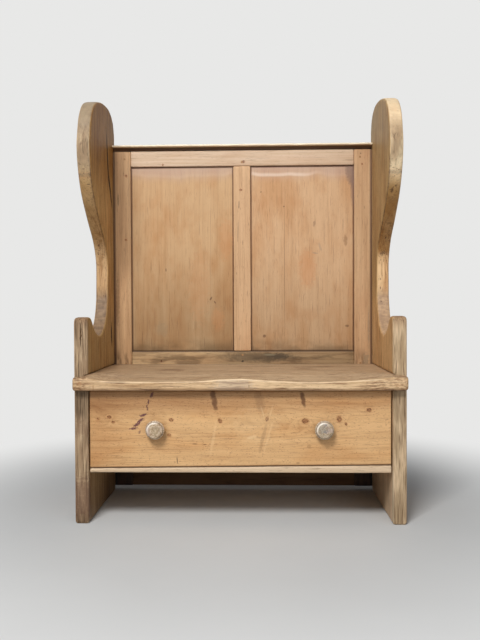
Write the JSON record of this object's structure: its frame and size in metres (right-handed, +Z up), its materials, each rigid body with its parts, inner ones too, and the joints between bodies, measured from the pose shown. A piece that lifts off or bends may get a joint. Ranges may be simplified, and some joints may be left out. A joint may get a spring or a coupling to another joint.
{
  "type": "settle bench",
  "caption": "High-backed pine settle with shaped winged slab sides, a plank seat, a framed and panelled back and a full-width drawer on runners under the seat.",
  "frame": {"origin": "centre of the footprint on the floor, midway between the slab sides and between the knobs' fronts and the back", "axes": "+Z up; -Y is the front, towards which the drawer opens; +X is the right side seen from the front"},
  "size_m": [1.034, 0.461, 1.388],
  "materials": {
    "slab_pine": "old stripped pine with a dull wax, greyed at the legs and golden on the wings' front edges",
    "seat_pine": "worn stripped pine, greyer than the rest, rubbed pale along the front edge",
    "back_pine": "stripped pine with a dull wax",
    "drawer_pine": "orange-yellow waxed pine with knots",
    "pale_pine": "newer pale pine, slightly pink",
    "inside_pine": "unfinished dry pine",
    "worn_knob": "turned wood with old greyish-white paint worn thin",
    "old_iron": "dull dark iron"
  },
  "bodies": {
    "carcass": {"back_bottom_rail": "back_pine", "back_cap": "back_pine", "back_muntin": "back_pine", "back_panel_left": "back_pine", "back_panel_right": "back_pine", "back_stile_left": "back_pine", "back_stile_right": "back_pine", "back_top_rail": "back_pine", "board_nail_left_1": "old_iron", "board_nail_left_2": "old_iron", "board_nail_right_1": "old_iron", "board_nail_right_2": "old_iron", "cap_nail_1": "old_iron", "cap_nail_2": "old_iron", "cap_nail_3": "old_iron", "cap_nail_4": "old_iron", "cleat_nail_left_1": "old_iron", "cleat_nail_left_2": "old_iron", "cleat_nail_right_1": "old_iron", "cleat_nail_right_2": "old_iron", "drawer_runner_left": "inside_pine", "drawer_runner_right": "inside_pine", "low_back_board_1": "inside_pine", "low_back_board_2": "inside_pine", "peg_bottom_left": "inside_pine", "peg_bottom_right": "inside_pine", "peg_muntin_bottom": "inside_pine", "peg_muntin_top": "inside_pine", "peg_top_left": "inside_pine", "peg_top_right": "inside_pine", "runner_nail_left_1": "old_iron", "runner_nail_left_2": "old_iron", "runner_nail_right_1": "old_iron", "runner_nail_right_2": "old_iron", "seat_board": "seat_pine", "seat_cleat_left": "inside_pine", "seat_cleat_right": "inside_pine", "seat_nail_left_1": "old_iron", "seat_nail_left_2": "old_iron", "seat_nail_right_1": "old_iron", "seat_nail_right_2": "old_iron", "side_left": "slab_pine", "side_right": "slab_pine", "stile_nail_left_1": "old_iron", "stile_nail_left_2": "old_iron", "stile_nail_right_1": "old_iron", "stile_nail_right_2": "old_iron"},
    "drawer": {"drawer_back": "inside_pine", "drawer_bottom_front": "inside_pine", "drawer_bottom_rear": "inside_pine", "drawer_front": "drawer_pine", "drawer_lip": "pale_pine", "drawer_side_left": "inside_pine", "drawer_side_right": "inside_pine", "knob_left": "worn_knob", "knob_right": "worn_knob", "knob_wedge_left": "inside_pine", "knob_wedge_right": "inside_pine"}
  },
  "joints": [
    {"name": "drawer_slide", "type": "slide", "parent": "carcass", "child": "drawer", "axis": [0, -1, 0], "range_m": [0, 0.26]}
  ]
}
